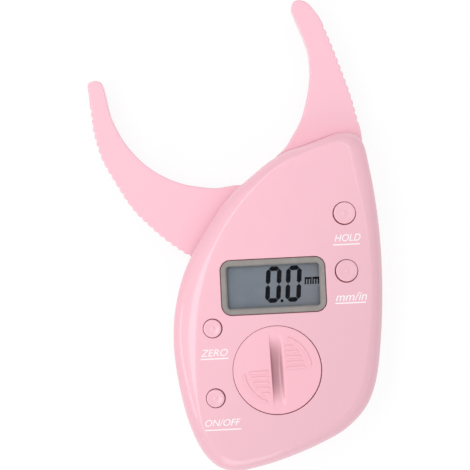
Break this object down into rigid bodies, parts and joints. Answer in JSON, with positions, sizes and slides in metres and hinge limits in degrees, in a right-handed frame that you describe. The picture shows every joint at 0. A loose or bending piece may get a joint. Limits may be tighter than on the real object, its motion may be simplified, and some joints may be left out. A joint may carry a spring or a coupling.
{
  "type": "skinfold caliper",
  "caption": "Handheld digital skinfold caliper: a curved fixed arm, a pivoting arm closing on it, a small display, push buttons and a coin-slot battery cover.",
  "frame": {"origin": "the jaw's pivot axis where it meets the plane the caliper's back rests on", "axes": "+Y from the pivot towards the jaws (display upright), +Z out of the face, +X to the right when looking at the face"},
  "size_m": [0.0996, 0.1637, 0.0203],
  "materials": {
    "shell_plastic": "pale pink ABS, fine satin gloss",
    "bezel_plastic": "warm grey satin",
    "window_plastic": "clear polished acrylic",
    "display_glass": "blue-grey reflective display glass",
    "steel": "nickel plated",
    "spring_steel": "drawn music wire",
    "washer_plastic": "natural acetal",
    "board_laminate": "green solder mask",
    "chip_resin": "black potting resin",
    "button_rubber": "matt silicone rubber",
    "sensor_copper": "gold-plated copper",
    "seal_rubber": "black nitrile rubber"
  },
  "bodies": {
    "case": {"rear_housing": "shell_plastic", "front_cover": "shell_plastic", "display_bezel": "bezel_plastic", "display_window": "window_plastic", "lcd_panel": "display_glass", "pivot_pin": "steel", "board_screw_1": "steel", "board_screw_2": "steel", "board_screw_3": "steel", "board_screw_4": "steel", "case_screw_1": "steel", "case_screw_2": "steel", "case_screw_3": "steel", "case_screw_4": "steel", "case_screw_5": "steel", "coin_cell": "steel", "crystal_can": "steel", "return_spring": "spring_steel", "lower_washer": "washer_plastic", "upper_washer": "washer_plastic", "main_board": "board_laminate", "controller_chip": "chip_resin", "hold_switch": "button_rubber", "unit_switch": "button_rubber", "zero_switch": "button_rubber", "power_switch": "button_rubber", "connector_strip_upper": "button_rubber", "connector_strip_lower": "button_rubber", "negative_contact": "sensor_copper", "positive_contact": "sensor_copper"},
    "jaw": {"moving_jaw": "shell_plastic", "sensor_rotor": "sensor_copper", "rotor_screw_1": "steel", "rotor_screw_2": "steel"},
    "hold_key": {"hold_button": "shell_plastic"},
    "unit_key": {"unit_button": "shell_plastic"},
    "zero_key": {"zero_button": "shell_plastic"},
    "power_key": {"power_button": "shell_plastic"},
    "battery_ring": {"battery_seal": "seal_rubber"},
    "battery_lid": {"battery_cover": "shell_plastic"}
  },
  "joints": [
    {"name": "jaw_pivot", "type": "hinge", "parent": "case", "child": "jaw", "pos_m": [0, 0, 0], "axis": [0, 0, 1], "range_deg": [-54.6, 0], "stiffness_Nm_per_rad": 0.12, "springref_deg": 20.05, "deforming": ["return_spring"]},
    {"name": "hold_press", "type": "slide", "parent": "case", "child": "hold_key", "axis": [0, 0, -1], "range_m": [0, 0.0006], "stiffness_N_per_m": 900, "springref_m": -0.0004, "deforming": ["hold_switch"]},
    {"name": "unit_press", "type": "slide", "parent": "case", "child": "unit_key", "axis": [0, 0, -1], "range_m": [0, 0.0006], "stiffness_N_per_m": 900, "springref_m": -0.0004, "deforming": ["unit_switch"]},
    {"name": "zero_press", "type": "slide", "parent": "case", "child": "zero_key", "axis": [0, 0, -1], "range_m": [0, 0.0006], "stiffness_N_per_m": 900, "springref_m": -0.0004, "deforming": ["zero_switch"]},
    {"name": "power_press", "type": "slide", "parent": "case", "child": "power_key", "axis": [0, 0, -1], "range_m": [0, 0.0006], "stiffness_N_per_m": 900, "springref_m": -0.0004, "deforming": ["power_switch"]},
    {"name": "battery_ring_rise", "type": "slide", "parent": "case", "child": "battery_ring", "axis": [0, 0, 1], "range_m": [0, 0.0016]},
    {"name": "battery_lid_turn", "type": "hinge", "parent": "battery_ring", "child": "battery_lid", "pos_m": [-0.001, -0.04972, 0], "axis": [0, 0, 1], "range_deg": [0, 60]}
  ],
  "couplings": [
    {"joint": "battery_ring_rise", "follows": "battery_lid_turn", "m_per_rad": 0.0015279}
  ]
}
